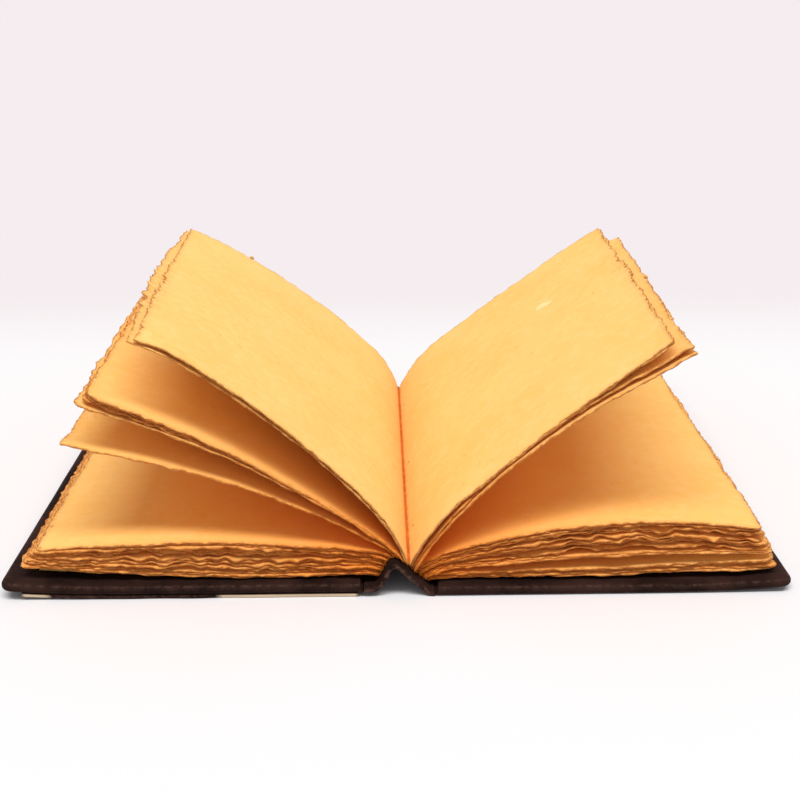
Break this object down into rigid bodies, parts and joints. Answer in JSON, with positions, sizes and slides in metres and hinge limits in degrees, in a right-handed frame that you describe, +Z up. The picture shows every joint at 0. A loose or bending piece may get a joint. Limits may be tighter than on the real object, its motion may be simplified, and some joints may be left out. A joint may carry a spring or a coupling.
{
  "type": "open book",
  "caption": "Leather-covered journal with deckle-edged amber pages, lying open on its two hinged covers, some leaves standing up.",
  "frame": {"origin": "on the surface that the book lies on, at the middle of its overall width and height", "axes": "+X to the right across the open book, +Y towards the head of the pages, +Z up"},
  "size_m": [0.2766, 0.187, 0.0949],
  "materials": {
    "amber_rag_paper": "matt, dyed handmade paper with torn edges",
    "dark_leather": "dark brown, worn lighter on its edges",
    "spine_cloth": "black lining cloth",
    "grey_board": "bare bookbinding board"
  },
  "bodies": {
    "pages_and_spine": {"text_block": "amber_rag_paper", "spine_leather": "dark_leather", "spine_lining": "spine_cloth"},
    "left_cover": {"left_board": "grey_board", "left_cover_leather": "dark_leather", "left_pastedown": "amber_rag_paper", "left_outer_panel": "dark_leather"},
    "right_cover": {"right_board": "grey_board", "right_cover_leather": "dark_leather", "right_pastedown": "amber_rag_paper"}
  },
  "joints": [
    {"name": "left_cover_hinge", "type": "hinge", "parent": "pages_and_spine", "child": "left_cover", "pos_m": [-0.01275, 0, 0.00195], "axis": [0, -1, 0], "range_deg": [0, 90]},
    {"name": "right_cover_hinge", "type": "hinge", "parent": "pages_and_spine", "child": "right_cover", "pos_m": [0.01275, 0, 0.00035], "axis": [0, 1, 0], "range_deg": [0, 90]}
  ]
}
